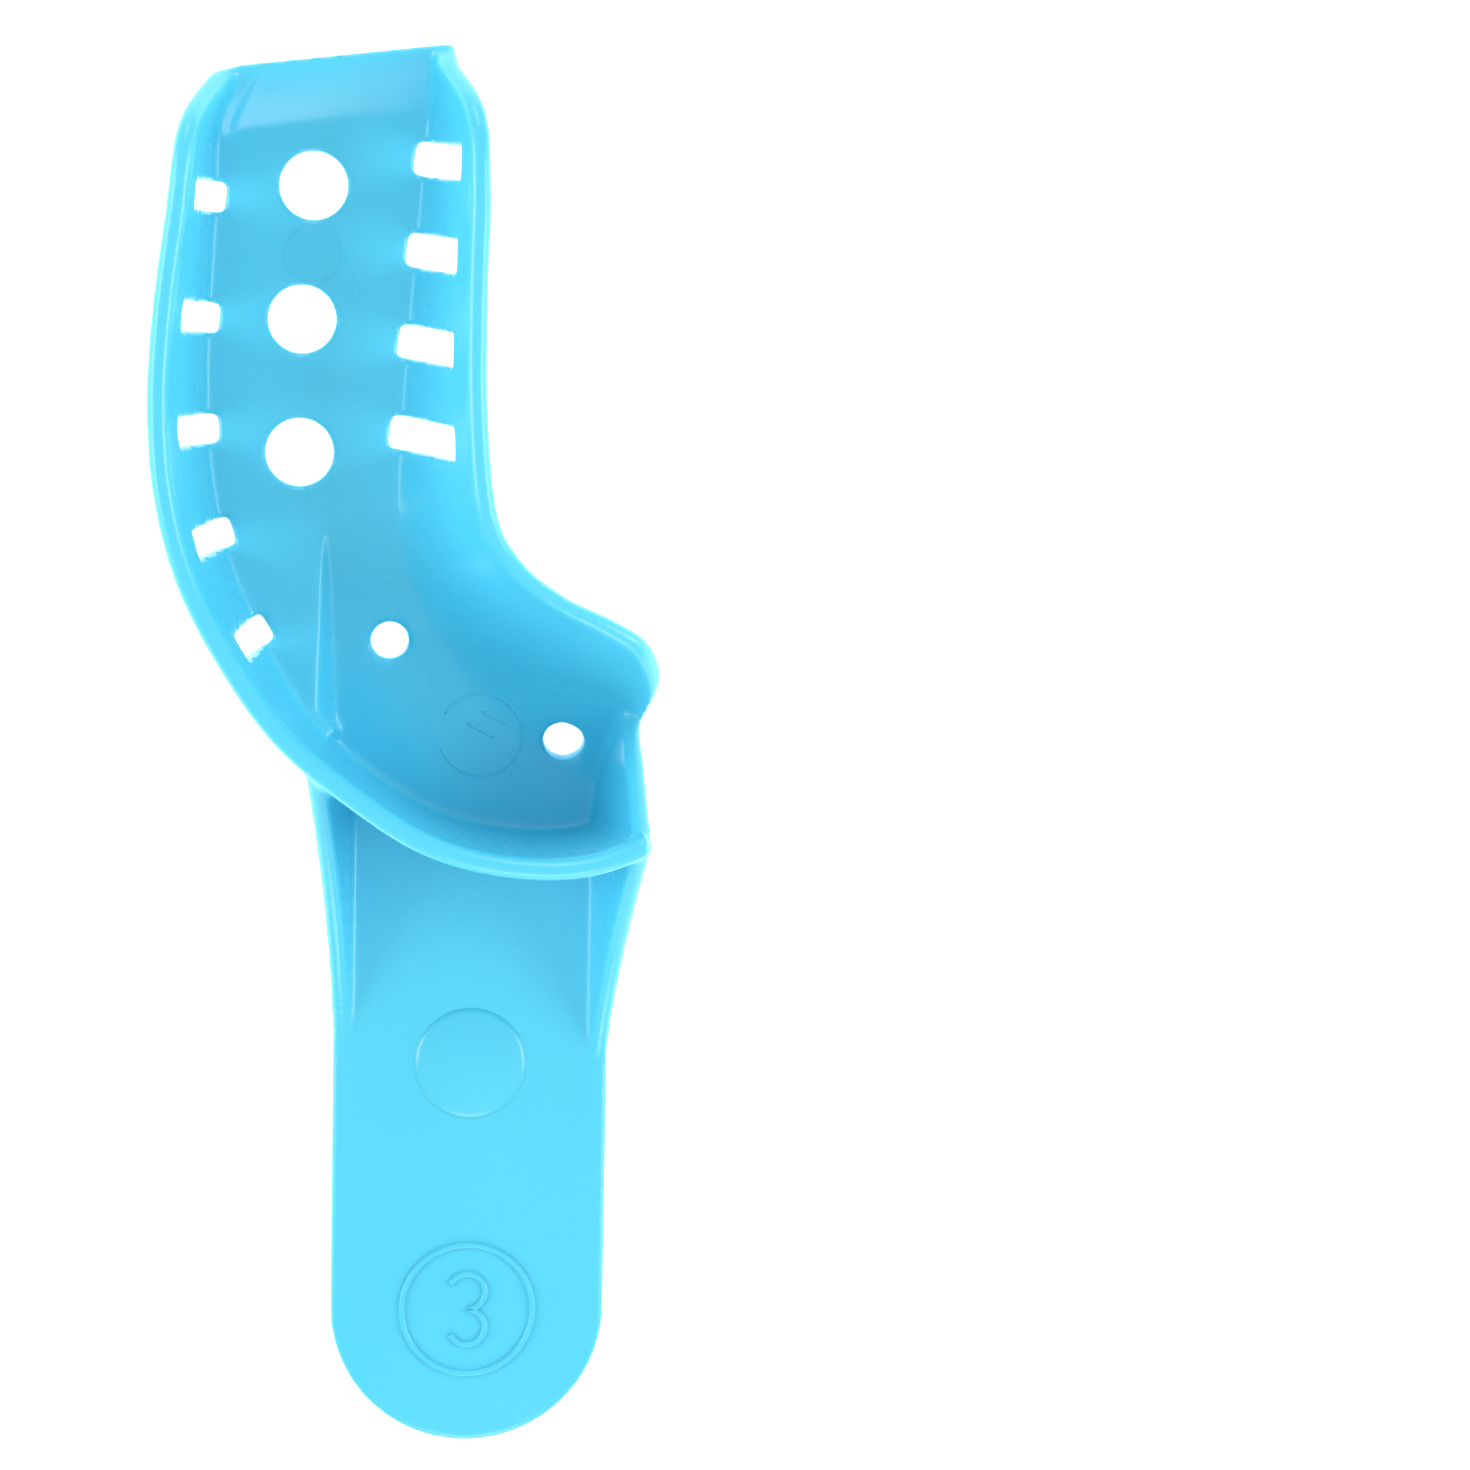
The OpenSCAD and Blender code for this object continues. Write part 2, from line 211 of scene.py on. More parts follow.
def inner_top(s):
    """Top of the inner face.  At the molar end it is nearly over its foot, never inside it."""
    foot = inner_foot(s)
    out = smooth_curve(inner_points, s) - foot
    return foot + out.normalized() * max(out.length - WALL, LEAST_LEAN)


def inner_foot_height(s):
    return lip(s) if s < 1 else ramp(inner_foot(s).y)


def bow(s):
    """1.1 for a wall, whose inner face is all but straight, and 2 for the dished slope."""
    return 1.1 + 0.9 * clamp((s - 4) / 3)


print("rim heights, mm:", outer_height(5), round(inner_height(8), 2))

# %% [markdown]
# A loft is a skin through a row of closed cross-sections.  Each section becomes a ring of
# vertices and edges, Bridge Edge Loops joins each ring to the next, and the two end rings
# are filled.  The same helper makes walls, floors, rims, ribs and the handle.

# %% Lofting
MM = 0.001


def ring(bm, points):
    """A closed ring of edges through the points, which are in millimetres."""
    verts = [bm.verts.new(Vector(p) * MM) for p in points]
    return [bm.edges.new((a, b)) for a, b in zip(verts, verts[1:] + verts[:1])]


def loft(bm, rows):
    """Adds to the mesh a closed skin through rows of points."""
    rings = [ring(bm, row) for row in rows]
    made = []
    for a, b in zip(rings, rings[1:]):
        made += bmesh.ops.bridge_loops(bm, edges=a + b)["faces"]
    for end in (rings[0], rings[-1]):
        made += bmesh.ops.edgeloop_fill(bm, edges=end)["faces"]
    bmesh.ops.recalc_face_normals(bm, faces=made)
    return made


def cut_off(bm, faces, point, normal):
    """Cuts the piece made of these faces along a plane, drops what is beyond it, and closes it."""
    verts = list({v for f in faces for v in f.verts})
    edges = list({e for f in faces for e in f.edges})
    done = bmesh.ops.bisect_plane(bm, geom=verts + edges + faces, dist=1e-7,
                                  plane_co=Vector(point) * MM, plane_no=Vector(normal),
                                  clear_outer=True)
    rim = [g for g in done["geom_cut"] if isinstance(g, bmesh.types.BMEdge)]
    lids = bmesh.ops.holes_fill(bm, edges=rim, sides=0)["faces"]
    kept = [f for f in faces if f.is_valid]
    kept += [g for g in done["geom"] if isinstance(g, bmesh.types.BMFace) and g.is_valid]
    kept = list(set(kept)) + lids
    bmesh.ops.recalc_face_normals(bm, faces=kept)
    return kept


def steps(start, end, count):
    return [start + (end - start) * k / count for k in range(count + 1)]


def finish_mesh(bm, name):
    """The mesh's object, linked to the scene."""
    mesh = bpy.data.meshes.new(name)
    bm.to_mesh(mesh)
    bm.free()
    made = bpy.data.objects.new(name, mesh)
    bpy.context.scene.collection.objects.link(made)
    return made


body = bmesh.new()
print("helpers for lofts are ready")

# %% [markdown]
# The cross-section of a wall goes from a strip of floor, up the inner face, and down the
# outer face at an even distance.  The outside corner at the foot is an arc round the inner
# corner, so the plastic is equally thick everywhere, as in any good moulding.

# %% Walls
WALL_POINTS = 12
CORNER_POINTS = 6
TOE = 1.0
WALL_SHORT, FLOOR_SHORT, RIM_SHORT = 0.5, 0.4, 0.55


def wall_section(foot, top, z0, z1, power):
    across = (top - foot).normalized()
    length = (top - foot).length
    rise = [(length * q, z0 + (z1 - z0) * q ** power) for q in steps(0, 1, WALL_POINTS)]
    normals = []
    for k in range(1, WALL_POINTS + 1):
        q = k / WALL_POINTS
        dr, dz = length, (z1 - z0) * power * q ** (power - 1)
        size = math.hypot(dr, dz)
        normals.append((dz / size, -dr / size))
    outside = [(p[0] + WALL * n[0], p[1] + WALL * n[1]) for p, n in zip(rise[1:], normals)]
    first = math.atan2(normals[0][1], normals[0][0])
    corner = [(WALL * math.cos(a), z0 + FLOOR * math.sin(a))
              for a in steps(-math.pi / 2, first, CORNER_POINTS)]
    flat = [(-TOE, z0)] + rise + outside[::-1] + corner[::-1][1:] + [(-TOE, z0 - FLOOR)]
    return [(foot.x + across.x * r, foot.y + across.y * r, z) for r, z in flat]


def outer_wall_section(s, z0):
    return wall_section(outer_foot(s), outer_top(s), z0, outer_height(s), bow(0))


loft(body, [outer_wall_section(s, lip(s)) for s in steps(OUTER_START, RIDGE_S + 0.2, 84)])
front_wall = loft(body, [outer_wall_section(s, FLOOR + STEP * clamp((STEP_S - s) * 3))
                         for s in steps(RIDGE_S, OUTER_END, 84)])
cut_off(body, front_wall, (HANDLE_HALF - WALL_SHORT, 0, 0), (1, 0, -LEAN))
loft(body, [wall_section(inner_foot(s), inner_top(s), inner_foot_height(s), inner_height(s),
                         bow(s)) for s in steps(INNER_START, INNER_END, 110)])
print("walls:", len(body.faces), "faces")

# %% [markdown]
# The floors are flat or gently sloping slabs between the feet of the walls.  Each one
# reaches a little into the walls beside it, so that the pieces melt together later without
# a gap.  The molar floor is drawn as one outline and given its thickness by extruding it.

# %% Floors
REACH = 0.5
CREASE = 1.05


def push(point, away_from, reach=REACH):
    return point + (point - away_from).normalized() * reach


def slab_row(a, b, za, zb):
    a2, b2 = push(a, b), push(b, a)
    return [(a2.x, a2.y, za), (b2.x, b2.y, zb), (b2.x, b2.y, zb - FLOOR), (a2.x, a2.y, za - FLOOR)]


def prism(bm, outline, z0, z1):
    """A flat slab: the outline at z0, filled, and extruded up to z1."""
    low = ring(bm, [(p[0], p[1], z0) for p in outline])
    face = bmesh.ops.edgeloop_fill(bm, edges=low)["faces"]
    up = bmesh.ops.extrude_face_region(bm, geom=face, use_keep_orig=True)["geom"]
    bmesh.ops.translate(bm, vec=(0, 0, (z1 - z0) * MM),
                        verts=[g for g in up if isinstance(g, bmesh.types.BMVert)])
    faces = {f for e in low for f in e.link_faces}
    faces |= {g for g in up if isinstance(g, bmesh.types.BMFace)}
    bmesh.ops.recalc_face_normals(bm, faces=list(faces))


outline = [outer_foot(s) + outward(s) * REACH for s in steps(0.9, RIDGE_S, 60)]
outline += [RIDGE_FROM] + [inner_foot(s) for s in steps(5, 0.9, 30)]
prism(body, outline, STEP, MOLAR)


def lip_row(q):
    """The lip at the molar end, from its crease at q = 0 to the trimmed edge at q = 1."""
    a, b = CREASE - (CREASE - OUTER_START) * q, CREASE - (CREASE - INNER_START) * q
    return slab_row(outer_foot(a), inner_foot(b), lip(a), lip(b))


loft(body, [lip_row(q) for q in steps(0, 1, 12)])

# the front floor and its ramp run from the foot of the step, and then of the front wall,
# to the foot of the palatal slope
step_from = RIDGE_FROM + Vector((0.35, 0))
step_to = outer_foot(STEP_S)
ridge_to = outer_foot(RIDGE_S)
SPLIT = 0.3


def front_edge(q):
    if q < SPLIT:
        return step_from.lerp(step_to, q / SPLIT)
    return outer_foot(STEP_S + (OUTER_END - STEP_S) * (q - SPLIT) / (1 - SPLIT))


rows = []
for q in steps(0, 1, 80):
    a, b = front_edge(q), inner_foot(5 + 6 * q)
    rows.append(slab_row(a, b, ramp(a.y), ramp(b.y)))
front_floor = loft(body, rows)
cut_off(body, front_floor, (HANDLE_HALF - FLOOR_SHORT, 0, 0), (1, 0, -LEAN))
print("with floors:", len(body.faces), "faces")

# %% [markdown]
# The step between the two floors is a steep face whose crest runs forward from the top of
# the ramp to the front wall.  Underneath, its wall stands out a little further with every
# millimetre forward, so that it keeps its thickness.

# %% The step
def step_row(q):
    r, f = RIDGE_FROM.lerp(ridge_to, q), step_from.lerp(step_to, q)
    e = (r - f).normalized()
    z = ramp(f.y)
    far, near = r + e * 1.0, f - e * 0.8
    under = r + e * (0.1 + 1.4 * q)
    flat = [(far, MOLAR), (r, MOLAR), (f, z), (near, z), (near, z - FLOOR), (f, z - FLOOR),
            (under, STEP), (far + e * q, STEP)]
    return [(p.x, p.y, h) for p, h in flat]


loft(body, [step_row(q) for q in steps(0, 1.06, 40)])
print("with the step:", len(body.faces), "faces")

# %% [markdown]
# Every wall ends in a round rim as wide as the wall: a tube along its top edge.

# %% Rims
RIM_POINTS = 16
RIM_R = WALL / 2 + 0.02


def rim_row(foot, top, z, z0, power):
    """A ring round the middle of the wall's top edge, square to the wall's lean."""
    length = (top - foot).length
    across = (top - foot).normalized()
    size = math.hypot(length, (z - z0) * power)
    out = Vector(((z - z0) * power / size, -length / size))
    middle = Vector((length, z)) + out * WALL / 2
    turned = Vector((-out.y, out.x))
    points = []
    for k in range(RIM_POINTS):
        a = 2 * math.pi * k / RIM_POINTS
        p = middle + (out * math.cos(a) + turned * math.sin(a)) * RIM_R
        points.append((foot.x + across.x * p.x, foot.y + across.y * p.x, p.y))
    return points


def outer_rim_row(s):
    z0 = lip(s) if s < RIDGE_S else FLOOR
    return rim_row(outer_foot(s), outer_top(s), outer_height(s), z0, bow(0))


outer_rim = loft(body, [outer_rim_row(s) for s in steps(OUTER_START, OUTER_END, 130)])
cut_off(body, outer_rim, (HANDLE_HALF - RIM_SHORT, 0, 0), (1, 0, -LEAN))
loft(body, [rim_row(inner_foot(s), inner_top(s), inner_height(s), inner_foot_height(s), bow(s))
            for s in steps(-0.1, INNER_END, 110)])
print("with rims:", len(body.faces), "faces")

# %% [markdown]
# The handle is a blade with a round tip.  Its side face leans outwards, which is the draft
# that lets a moulding leave its mould, and its edges are rounded: the rings of the loft
# step in near the top and the bottom.

# %% The handle blade
HANDLE_LEN = 47.7
TIP_Y = -HANDLE_LEN + HANDLE_HALF + LEAN * BLADE
BLADE_LEFT, BLADE_RIGHT = 8.9, 12.4
BOTTOM_ROUND, TOP_ROUND = 0.7, 0.45


def blade_outline(z, inset):
    r = HANDLE_HALF + LEAN * z - inset
    tip = [(r * math.cos(a), TIP_Y + r * math.sin(a), z) for a in steps(0, -math.pi, 48)]
    joint = [outer_foot(s) + outward(s) * 0.8 for s in steps(BLADE_LEFT, BLADE_RIGHT, 24)]
    return [(r, -15, z)] + tip + [(-r, -15, z)] + [(clamp(p.x, -r, r), p.y, z) for p in joint]


rows = []
for a in steps(0, math.pi / 2, 6):
    rows.append(blade_outline(BOTTOM_ROUND * (1 - math.cos(a)), BOTTOM_ROUND * (1 - math.sin(a))))
for a in steps(0, math.pi / 2, 5):
    rows.append(blade_outline(BLADE - TOP_ROUND * (1 - math.sin(a)), TOP_ROUND * (1 - math.cos(a))))
loft(body, rows)
print("with the blade:", len(body.faces), "faces")

# %% [markdown]
# Two gussets rise in a curve from the blade to the rim.  The right one goes on behind the
# front wall as the end wall of the bowl at the midline: it splays out and falls to the edge
# of the palatal slope.  A rib's cross-section has a round top.

# %% Gussets and the midline end wall
GUSSET = 1.5
GUSSET_LEN = 17
SPLAY_FROM, SPLAY_TO, SPLAY = 2.3, 11.6, 1.3
END_LOW = FLOOR + 4.4


def rib_row(y, top, side, bottom):
    """Cross-section of a rib at y, on the right for side 1 and on the left for side -1."""
    turn = SPLAY * clamp((y - SPLAY_FROM) / (SPLAY_TO - SPLAY_FROM), 0, 1.2) if side > 0 else 0
    base = HANDLE_HALF + turn
    r = GUSSET / 2
    top = max(top, bottom + r + 0.2)
    flat = [(base + LEAN * bottom, bottom)]
    for a in steps(0, math.pi, 8):
        z = top - r
        flat.append((base + LEAN * z - r + r * math.cos(a), z + r * math.sin(a)))
    flat.append((base + LEAN * bottom - GUSSET, bottom))
    return [(side * x, y, z) for x, z in flat]


LEFT_BACK = 7.4
LEFT_CURVE, RIGHT_CURVE = 1.65, 1.35
RIB_FOOT = 1.0
INSIDE_LEFT = (-9.9, 6.2, 0)


def gusset_top(y, back, power):
    """Height of a gusset that rises from the blade to the rim at y = back."""
    return BLADE + (OUTER_TOP - BLADE) * clamp((y + GUSSET_LEN) / (back + GUSSET_LEN)) ** power


END_TOP = OUTER_TOP + 0.3


def end_wall_top(y):
    return END_TOP - (END_TOP - END_LOW) * clamp((y - SPLAY_FROM) / (SPLAY_TO - SPLAY_FROM))


def end_wall_bottom(y):
    """Just inside the floor, and higher where the palatal slope begins."""
    return 0.9 * clamp(1 - y / 30) + 2.0 * clamp((y - 9) / 3)


left = loft(body, [rib_row(y, gusset_top(y, LEFT_BACK, LEFT_CURVE), -1, RIB_FOOT)
                   for y in steps(-GUSSET_LEN, 9, 60)])
cut_off(body, left, INSIDE_LEFT, (0.65, 0.76, 0))
loft(body, [rib_row(y, gusset_top(y, SPLAY_FROM, RIGHT_CURVE), 1, RIB_FOOT)
            for y in steps(-GUSSET_LEN, SPLAY_FROM, 48)])
loft(body, [rib_row(y, end_wall_top(y), 1, end_wall_bottom(y))
            for y in steps(SPLAY_FROM - 0.3, SPLAY_TO + 0.6, 36)])
print("with ribs:", len(body.faces), "faces")

# %% [markdown]
# The walls, floors, rims and ribs overlap.  A Remesh modifier in its voxel mode turns them
# into one skin.  Then a Boolean takes away the cutters: a box for each slot, a cylinder for
# each bore and a shallow sphere under the handle where the plastic went into the mould.

# %% Cutters
slots = bmesh.new()


def box_cut(centre, size, angle=0.0):
    place = Matrix.Translation(Vector(centre) * MM) @ Matrix.Rotation(angle, 4, "Z")
    made = bmesh.ops.create_cube(slots, size=1)["verts"]
    bmesh.ops.scale(slots, verts=made, vec=Vector(size) * MM)
    bmesh.ops.transform(slots, verts=made, matrix=place)


def round_cut(x, y, d, tilt=0.0):
    place = Matrix.Translation(Vector((x, y, 0)) * MM) @ Matrix.Rotation(tilt, 4, "X")
    bmesh.ops.create_cone(slots, cap_ends=True, segments=48, radius1=d / 2 * MM,
                          radius2=d / 2 * MM, depth=40 * MM, matrix=place)


SLOT_TOP = MOLAR + 7
SLOT_REACH = 0.9
SLOT_TURN = math.radians(-8)
OUTER_SLOT, INNER_SLOT = 2.3, 2.6
INNER_SLOT_Y, INNER_PITCH = 54.6, 7.05
CUT = 15
for k in range(5):
    s = 1.75 + 1.31 * k
    n = outward(s)
    p = outer_foot(s) - n * SLOT_REACH + n * CUT / 2
    box_cut((p.x, p.y, SLOT_TOP / 2 - 1), (CUT, OUTER_SLOT, SLOT_TOP + 2), math.atan2(n.y, n.x))
for k in range(4):
    y = INNER_SLOT_Y - INNER_PITCH * k
    x = inner_foot(1.5 + k * INNER_PITCH / 7.4).x - SLOT_REACH + CUT / 2 * math.cos(SLOT_TURN)
    y += (CUT / 2 - 1.5) * math.sin(SLOT_TURN)
    box_cut((x, y, SLOT_TOP / 2 - 1), (CUT, INNER_SLOT, SLOT_TOP + 2), SLOT_TURN)
# the molar end is trimmed almost square to the handle, and its outer corner twice more
prism(slots, [(20, 66.3), (20, 90), (-40, 90), (-40, 50), (-27.4, 52.4), (-22.4, 59.6),
              (-20.6, 60.95), (-18.6, 61.5)], -10, 30)
BORE_D = 5.3
for x, y in [(-13.1, 52.5), (-13.9, 42.2), (-14.0, 31.9)]:
    round_cut(x, y, BORE_D)
round_cut(-6.8, 17.1, 3)
round_cut(7.1, 9.6, 3.2, math.radians(14))
DIMPLE_D, DIMPLE_H = 4.6, 0.6
dimple_r = (DIMPLE_D ** 2 / 4 + DIMPLE_H ** 2) / (2 * DIMPLE_H)
bmesh.ops.create_icosphere(slots, subdivisions=5, radius=dimple_r * MM,
                           matrix=Matrix.Translation(Vector((0, -16.8, DIMPLE_H - dimple_r)) * MM))
cutters = finish_mesh(slots, "cutters")
tray = finish_mesh(body, "tray_body")
print("cutters:", len(cutters.data.polygons), "faces")

# %% [markdown]
# The pieces that overlap are melted together, cut, and melted once more, which rounds every
# cut edge as a mould does.  Smoothing takes away the steps that the voxels leave, and
# Decimate halves the number of triangles where the skin is plain.

# %% Melting, cutting and smoothing
def add_modifier(piece, kind, **settings):
    made = piece.modifiers.new(kind.lower(), kind)
    for name, value in settings.items():
        setattr(made, name, value)
    return made


def apply_modifiers(piece):
    """Turns what the modifiers show into the piece's own mesh."""
    shown = piece.evaluated_get(bpy.context.evaluated_depsgraph_get())
    mesh = bpy.data.meshes.new_from_object(shown)
    piece.modifiers.clear()
    old, piece.data = piece.data, mesh
    mesh.name = old.name
    bpy.data.meshes.remove(old)


VOXEL = 0.24 * MM
add_modifier(tray, "REMESH", mode="VOXEL", voxel_size=VOXEL * 0.9)
add_modifier(tray, "BOOLEAN", operation="DIFFERENCE", object=cutters, solver="MANIFOLD")
add_modifier(tray, "REMESH", mode="VOXEL", voxel_size=VOXEL)
add_modifier(tray, "SMOOTH", factor=0.5, iterations=10)
add_modifier(tray, "DECIMATE", decimate_type="COLLAPSE", ratio=0.52)
apply_modifiers(tray)
bpy.data.objects.remove(cutters)
for face in tray.data.polygons:
    face.use_smooth = True
print("tray_body:", len(tray.data.polygons), "faces", len(tray.data.vertices), "vertices")

# %% [markdown]
# The marks on the handle are raised by a quarter of a millimetre, so they are separate
# pieces that stand on the skin: a domed button for the thumb, and a ring round a plain
# size numeral.

# %% Marks
def lathe(bm, profile, x, y, segments=96):
    """Spins a profile of (radius, height) points round a vertical axis at x, y."""
    verts = [bm.verts.new(Vector((x + r, y, z)) * MM) for r, z in profile]
    edges = [bm.edges.new((a, b)) for a, b in zip(verts, verts[1:])]
    bmesh.ops.spin(bm, geom=verts + edges, cent=Vector((x, y, 0)) * MM, axis=(0, 0, 1),
                   angle=2 * math.pi, steps=segments, use_merge=True)
    bmesh.ops.remove_doubles(bm, verts=bm.verts, dist=1e-6)
    bmesh.ops.recalc_face_normals(bm, faces=bm.faces)


def smooth_piece(piece):
    for f in piece.data.polygons:
        f.use_smooth = True
    return piece


button = bmesh.new()
BUTTON_R, BUTTON_H, BUTTON_Y = 4.5, 0.7, -16.8
dome_r = (BUTTON_R ** 2 + BUTTON_H ** 2) / (2 * BUTTON_H)
sweep = math.asin(BUTTON_R / dome_r)
profile = [(dome_r * math.sin(a), BLADE + BUTTON_H - dome_r + dome_r * math.cos(a))
           for a in steps(0, sweep, 10)]
lathe(button, profile + [(BUTTON_R, BLADE - 0.2), (0, BLADE - 0.2)], 0, BUTTON_Y)
thumb_button = smooth_piece(finish_mesh(button, "thumb_button"))

LINE_W, LINE_H = 0.5, 0.25
RING_R, RING_Y = 5.5, -36.8


def raised_line(bm, points, width, height, closed=False):
    """A low, round-topped line along points that lie on the skin."""
    rows = []
    count = len(points)
    for i, p in enumerate(points):
        before = points[i - 1] if i or closed else points[i]
        after = points[(i + 1) % count] if i + 1 < count or closed else points[i]
        d = (Vector(after) - Vector(before)).xy.normalized()
        side = Vector((-d.y, d.x)) * width / 2
        rows.append([(p[0] + side.x * c, p[1] + side.y * c, p[2] + h) for c, h in
                     [(1.15, -0.15), (1.0, 0.0), (0.8, height * 0.75), (0.45, height),
                      (-0.45, height), (-0.8, height * 0.75), (-1.0, 0.0), (-1.15, -0.15)]])
    rings = [ring(bm, row) for row in rows]
    pairs = list(zip(rings, rings[1:])) + ([(rings[-1], rings[0])] if closed else [])
    for a, b in pairs:
        bmesh.ops.bridge_loops(bm, edges=a + b)
    if not closed:
        for end in (rings[0], rings[-1]):
            bmesh.ops.edgeloop_fill(bm, edges=end)
    bmesh.ops.recalc_face_normals(bm, faces=bm.faces)


def arc(x, y, r, a0, a1, count):
    return [(x + r * math.cos(math.radians(a)), y + r * math.sin(math.radians(a)), BLADE)
            for a in steps(a0, a1, count)]


ring_mesh = bmesh.new()
raised_line(ring_mesh, arc(0, RING_Y, RING_R - LINE_W / 2, 0, 356.25, 95), LINE_W, LINE_H,
            closed=True)
size_ring = smooth_piece(finish_mesh(ring_mesh, "size_ring"))

numeral = bmesh.new()
BOW_R = RING_R * 2 / 6.5 - LINE_W / 2
raised_line(numeral, arc(0, RING_Y + BOW_R, BOW_R, 155, -90, 40), LINE_W, LINE_H)
raised_line(numeral, arc(0, RING_Y - BOW_R, BOW_R, 90, -155, 40), LINE_W, LINE_H)
size_numeral = smooth_piece(finish_mesh(numeral, "size_numeral"))
print("marks:", [len(o.data.polygons) for o in (thumb_button, size_ring, size_numeral)])

# %% [markdown]
# A round insert in the mould left a fine ring and two dashes on the front floor, and an
# ejector pin left a faint circle on the molar floor.  They are drawn flat and then dropped
# onto the floor by casting a ray down from each of their points.

# %% Insert marks
skin = BVHTree.FromObject(tray, bpy.context.evaluated_depsgraph_get())


def dropped(points):
    """The points, moved straight down onto the skin of the tray."""
    hits = [skin.ray_cast(Vector((x, y, 30)) * MM, Vector((0, 0, -1)))[0] for x, y, _ in points]
    return [tuple(hit / MM) for hit in hits if hit]


MARK_X, MARK_Y, MARK_R = 0.5, 9.6, 3.3
marks = bmesh.new()
raised_line(marks, dropped(arc(MARK_X, MARK_Y, MARK_R, 150, -160, 80)), 0.2, 0.07)
for x0, y0, x1, y1 in [(-1.0, 0.9, 1.0, -0.2), (0.1, 1.8, 2.0, 0.9)]:
    raised_line(marks, dropped([(MARK_X + x0 + (x1 - x0) * q, MARK_Y + y0 + (y1 - y0) * q, 0)
                                for q in steps(0, 1, 8)]), 0.25, 0.09)
raised_line(marks, dropped(arc(-13.1, 47.2, 2.2, 0, 352.5, 47)), 0.16, 0.03, closed=True)
insert_marks = smooth_piece(finish_mesh(marks, "insert_marks"))
print("insert marks:", len(insert_marks.data.polygons), "faces")

# %% [markdown]
# One plastic for everything.  A small class wraps a shader socket and overloads the
# operators, so that the maths of a pattern reads like maths.

# %% Shader helpers
class Value:
    """A number that varies over the surface, with Python's operators."""
    def __init__(self, shader, socket):
        self.shader, self.socket = shader, socket

    def maths(self, operation, *others):
        return self.shader.node("ShaderNodeMath", {"operation": operation},
                                {i: v for i, v in enumerate(others)})

    def __add__(self, other):
        return self.maths("ADD", self, other)

    def __mul__(self, other):
        return self.maths("MULTIPLY", self, other)


class Shader:
    """The node tree of one material."""
    def __init__(self, name):
        self.material = bpy.data.materials.new(name)
        self.material.use_nodes = True
        self.tree = self.material.node_tree
        self.tree.nodes.clear()

    def node(self, kind, settings=None, inputs=None, output=0):
        made = self.tree.nodes.new(kind)
        for name, value in (settings or {}).items():
            setattr(made, name, value)
        for name, value in (inputs or {}).items():
            if isinstance(value, Value):
                self.tree.links.new(value.socket, made.inputs[name])
            else:
                made.inputs[name].default_value = value
        return Value(self, made.outputs[output]) if made.outputs else None


# %% [markdown]
# The tray is pale blue polystyrene, glossy from a polished mould and faintly milky.  A
# Principled shader has a little subsurface light for the milkiness.  Large soft clouds vary
# the colour and gloss by a few percent, and a very low bump keeps reflections from being
# perfectly even, as on any thin moulding.

# %% The plastic
def make_plastic():
    shader = Shader("tray_plastic")
    place = shader.node("ShaderNodeTexCoord", output="Object")
    clouds = shader.node("ShaderNodeTexNoise", None,
                         {"Vector": place, "Scale": 38.0, "Detail": 2.0, "Roughness": 0.5})
    ripple = shader.node("ShaderNodeTexNoise", None,
                         {"Vector": place, "Scale": 420.0, "Detail": 2.0, "Roughness": 0.55})
    grain = shader.node("ShaderNodeTexNoise", None,
                        {"Vector": place, "Scale": 5200.0, "Detail": 1.0, "Roughness": 0.5})
    colour = shader.node("ShaderNodeMix", {"data_type": "RGBA"},
                         {"Factor": clouds, 6: (0.070, 0.58, 0.80, 1),
                          7: (0.100, 0.63, 0.84, 1)}, output=2)
    height = ripple + grain * 0.04
    bump = shader.node("ShaderNodeBump", None,
                       {"Strength": 0.06, "Distance": 0.0004, "Height": height})
    rough = clouds * 0.08 + ripple * 0.06 + 0.2
    plastic = shader.node("ShaderNodeBsdfPrincipled", None,
                          {"Base Color": colour, "Roughness": rough, "Normal": bump,
                           "IOR": 1.52, "Subsurface Weight": 0.06,
                           "Subsurface Radius": (0.3, 0.8, 1.0), "Subsurface Scale": 0.0015})
    shader.node("ShaderNodeOutputMaterial", None, {"Surface": plastic})
    return shader.material


plastic = make_plastic()
print("material:", plastic.name, len(plastic.node_tree.nodes), "nodes")

# %% [markdown]
# Each piece rides on the tray's one body, takes the place of the CAD nodes that it shows,
# and is put in the slot of its material.  One skin stands for fourteen nodes, because the
# real tray has no seams between them.  The insert marks have no node of their own.

# %% Riding, slots and replaced nodes
BODY_NODES = ["handle_blade", "left_gusset", "right_gusset", "molar_floor", "distal_lip",
              "buccal_wall", "labial_wall", "mesial_wall", "lingual_wall", "palatal_slope",
              "front_floor", "floor_step", "outer_rim", "inner_rim"]
for piece, nodes in [(tray, BODY_NODES), (thumb_button, ["thumb_button"]),
                     (size_ring, ["size_ring"]), (size_numeral, ["size_numeral"]),
                     (insert_marks, [])]:
    piece.data.materials.clear()
    piece.data.materials.append(plastic)
    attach(piece, "root")
    if nodes:
        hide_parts(*nodes)

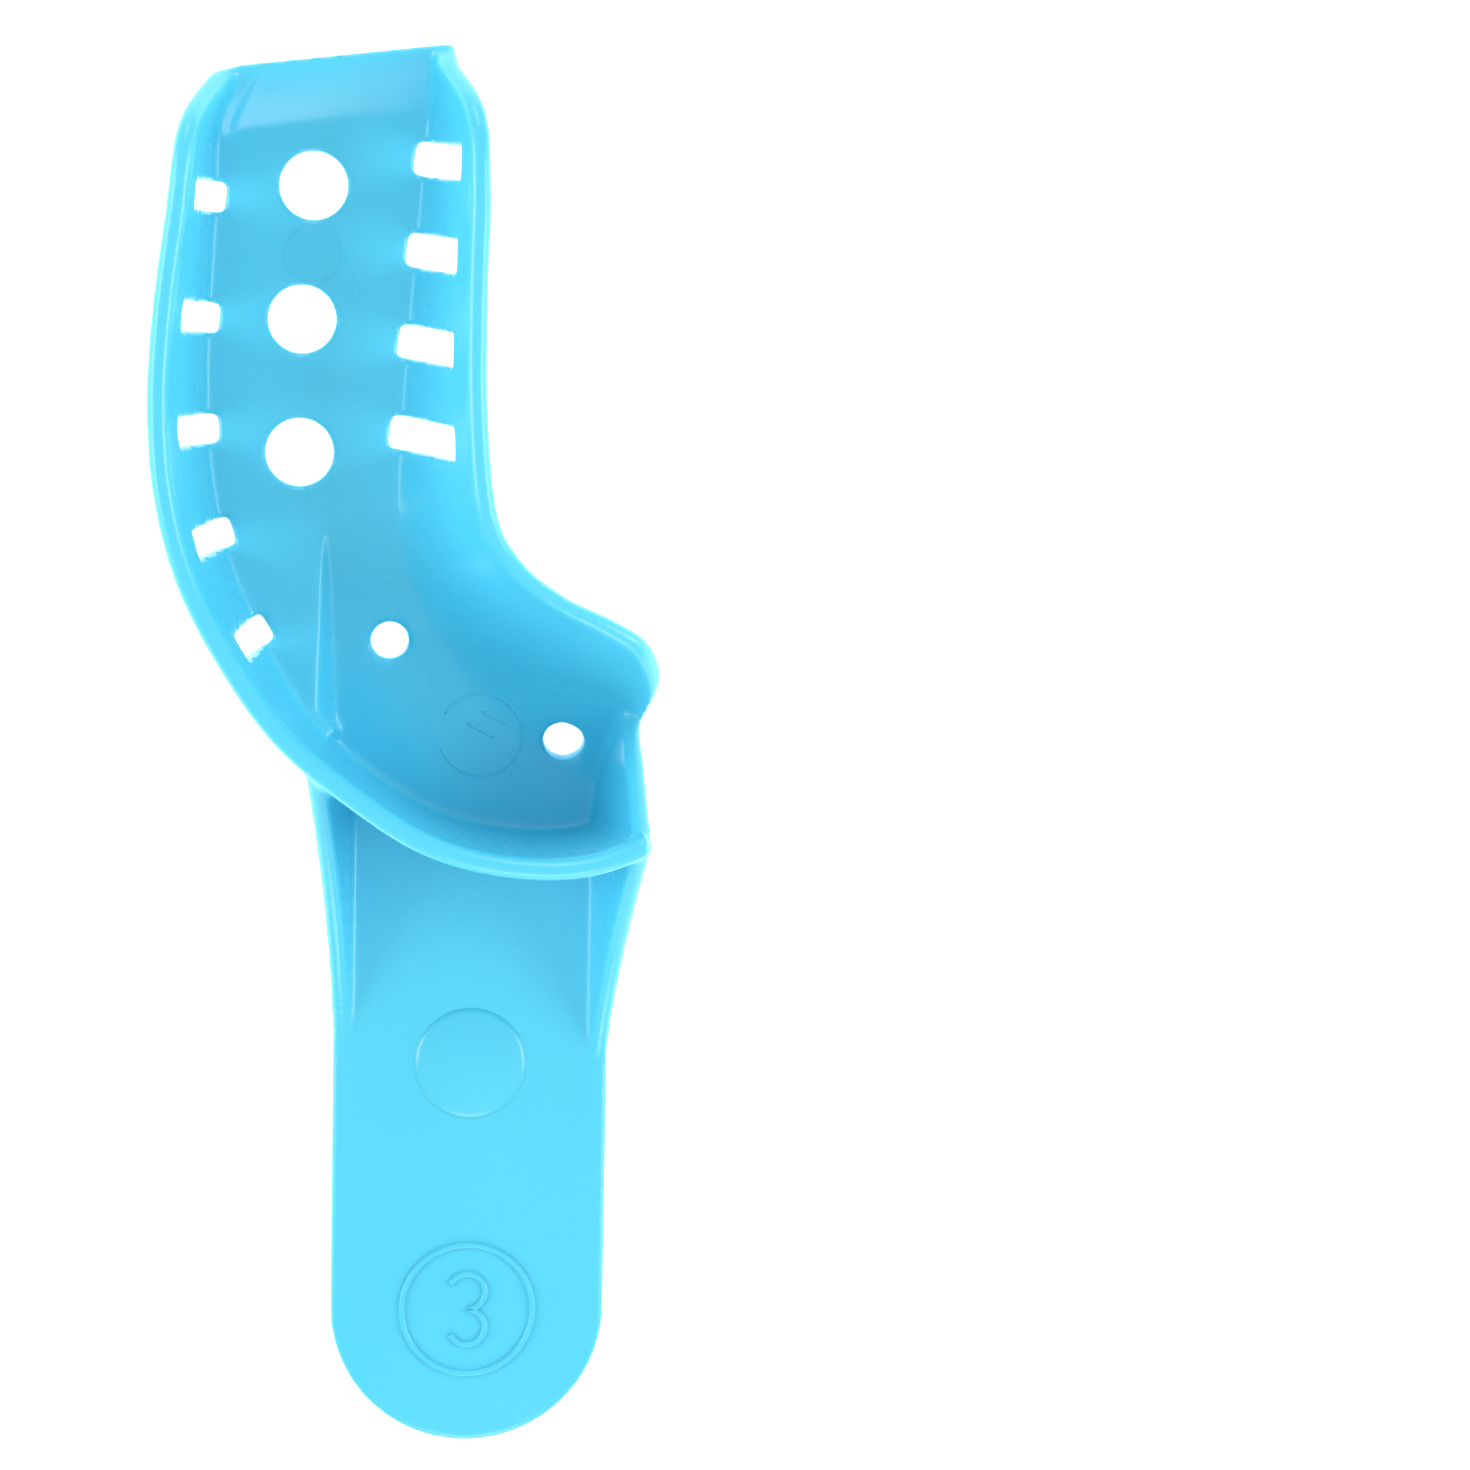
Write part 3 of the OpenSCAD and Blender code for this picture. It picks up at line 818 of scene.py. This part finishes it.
# %% [markdown]
# The tray lies on white paper, lit so brightly that its edges vanish, as for a catalogue.
# Four soft boxes stand low around it to brighten the rims, and an even white world fills the
# shadows inside the bowl.

# %% Floor, lights and world
floor_mesh = bmesh.new()
bmesh.ops.create_grid(floor_mesh, x_segments=1, y_segments=1, size=2.0)
bmesh.ops.translate(floor_mesh, verts=floor_mesh.verts, vec=(0, 0, -0.0002))
floor = finish_mesh(floor_mesh, "floor")
paper = Shader("paper")
spot = paper.node("ShaderNodeTexCoord", output="Object")
fibre = paper.node("ShaderNodeTexNoise", None, {"Vector": spot, "Scale": 900.0, "Detail": 2.0})
shade = paper.node("ShaderNodeMix", {"data_type": "RGBA"},
                   {"Factor": fibre, 6: (0.88, 0.88, 0.88, 1), 7: (0.91, 0.91, 0.91, 1)}, output=2)
sheet = paper.node("ShaderNodeBsdfPrincipled", None,
                   {"Base Color": shade, "Roughness": 0.9, "Emission Color": (1, 1, 1, 1),
                    "Emission Strength": 0.8})
paper.node("ShaderNodeOutputMaterial", None, {"Surface": sheet})
floor.data.materials.append(paper.material)


AIM = (-0.005, 0.01, 0.005)
LIGHT_SIZE = 0.4


def soft_light(name, place, aim, size, watts):
    data = bpy.data.lights.new(name, "AREA")
    data.shape, data.size, data.energy = "SQUARE", size, watts
    made = bpy.data.objects.new(name, data)
    bpy.context.scene.collection.objects.link(made)
    made.location = place
    made.rotation_euler = (Vector(aim) - Vector(place)).to_track_quat("-Z", "Y").to_euler()
    return made


for name, place, watts in [("left softbox", (-0.65, 0.05, 0.32), 2.6),
                           ("right softbox", (0.65, 0.0, 0.34), 2.6),
                           ("near softbox", (0.05, -0.7, 0.36), 1.8),
                           ("far softbox", (0.0, 0.75, 0.4), 1.6)]:
    soft_light(name, place, AIM, LIGHT_SIZE, watts)
world = bpy.data.worlds.new("studio")
world.use_nodes = True
world.node_tree.nodes["Background"].inputs["Color"].default_value = (1, 1, 1, 1)
world.node_tree.nodes["Background"].inputs["Strength"].default_value = 0.62
bpy.context.scene.world = world
bpy.context.scene.view_settings.view_transform = "Standard"

# %% The last lines
import json
